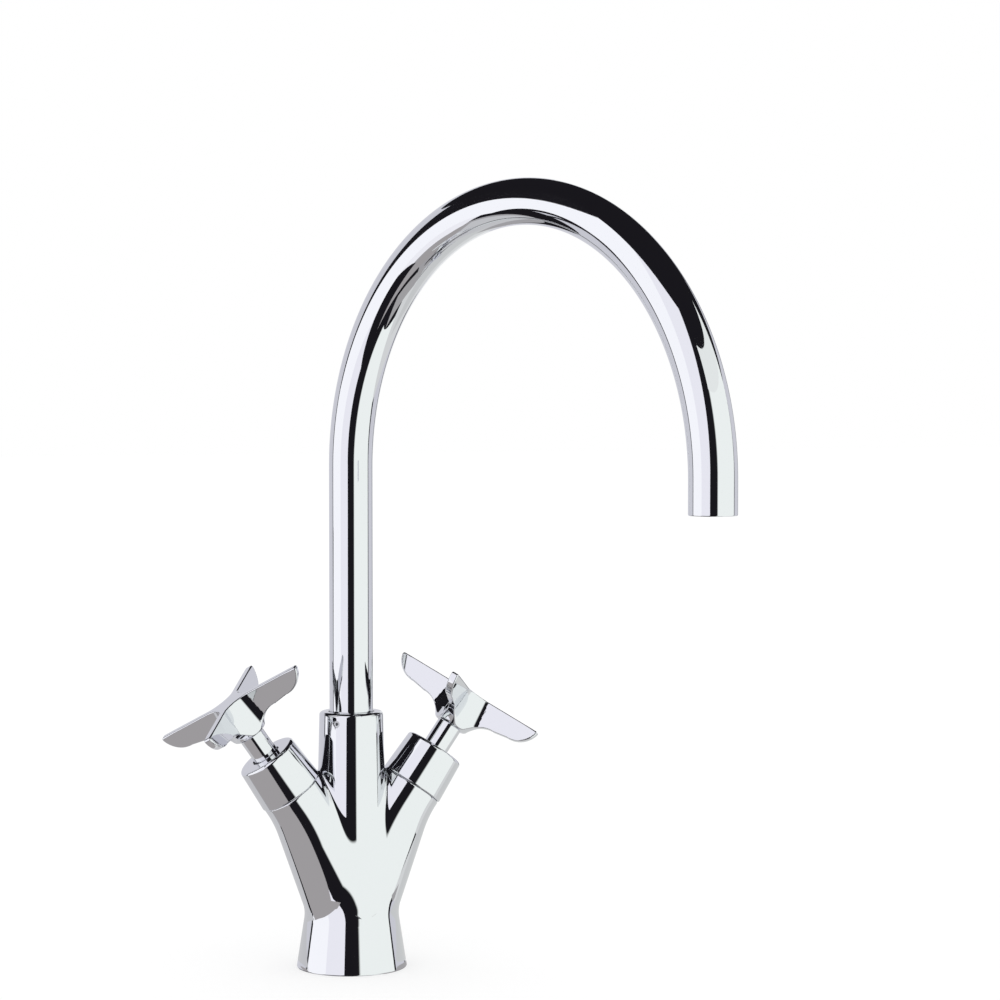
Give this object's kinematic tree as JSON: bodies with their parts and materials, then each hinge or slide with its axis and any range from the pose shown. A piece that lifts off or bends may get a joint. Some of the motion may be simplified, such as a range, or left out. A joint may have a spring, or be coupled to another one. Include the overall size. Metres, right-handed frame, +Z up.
{
  "type": "two-handle basin tap",
  "caption": "Deck-mounted basin mixer with a flared forked body, a swivelling swan-neck spout and a cross handle on each slanted valve.",
  "frame": {"origin": "centre of the base's underside, where the tap's axis meets the deck", "axes": "+Z up along the neck; the user stands on the -Y side; the hot valve is on -X and the cold valve on +X; at rest the spout is swung 21 degrees from -Y towards +X"},
  "size_m": [0.1685, 0.2452, 0.338],
  "materials": {
    "chrome": "mirror-polished chrome plating on brass",
    "brass": "turned, unplated",
    "steel": "bright stainless",
    "rubber": "satin black",
    "ceramic": "lapped ceramic",
    "pale_plastic": "moulded, off-white"
  },
  "bodies": {
    "tap_body": {"mixer_body": "chrome", "base_seal": "rubber", "spout_slip_washer": "pale_plastic", "spout_grub_screw": "steel", "hot_cover": "chrome", "hot_valve_body": "brass", "hot_valve_o_ring": "rubber", "hot_seat_seal": "rubber", "hot_fixed_disc": "ceramic", "cold_cover": "chrome", "cold_valve_body": "brass", "cold_valve_o_ring": "rubber", "cold_seat_seal": "rubber", "cold_fixed_disc": "ceramic"},
    "spout": {"spout_tube": "chrome", "spout_foot": "brass", "spout_upper_o_ring": "rubber", "spout_lower_o_ring": "rubber", "spout_guide_ring": "pale_plastic", "aerator_housing": "chrome", "aerator_grid": "pale_plastic", "aerator_seal": "rubber"},
    "hot_handle_set": {"hot_handle": "chrome", "hot_handle_screw": "steel", "hot_stem_sleeve": "chrome", "hot_spindle": "brass", "hot_spindle_o_ring": "rubber", "hot_spindle_clip": "steel", "hot_moving_disc": "ceramic"},
    "cold_handle_set": {"cold_handle": "chrome", "cold_handle_screw": "steel", "cold_stem_sleeve": "chrome", "cold_spindle": "brass", "cold_spindle_o_ring": "rubber", "cold_spindle_clip": "steel", "cold_moving_disc": "ceramic"}
  },
  "joints": [
    {"name": "spout_swivel", "type": "hinge", "parent": "tap_body", "child": "spout", "pos_m": [0, 0, 0.105], "axis": [0, 0, 1], "range_deg": [-81, 39]},
    {"name": "hot_handle_turn", "type": "hinge", "parent": "tap_body", "child": "hot_handle_set", "pos_m": [0, 0, 0.039], "axis": [-0.5736, 0, 0.8192], "range_deg": [0, 90]},
    {"name": "cold_handle_turn", "type": "hinge", "parent": "tap_body", "child": "cold_handle_set", "pos_m": [0, 0, 0.039], "axis": [0.5736, 0, 0.8192], "range_deg": [0, 90]}
  ]
}
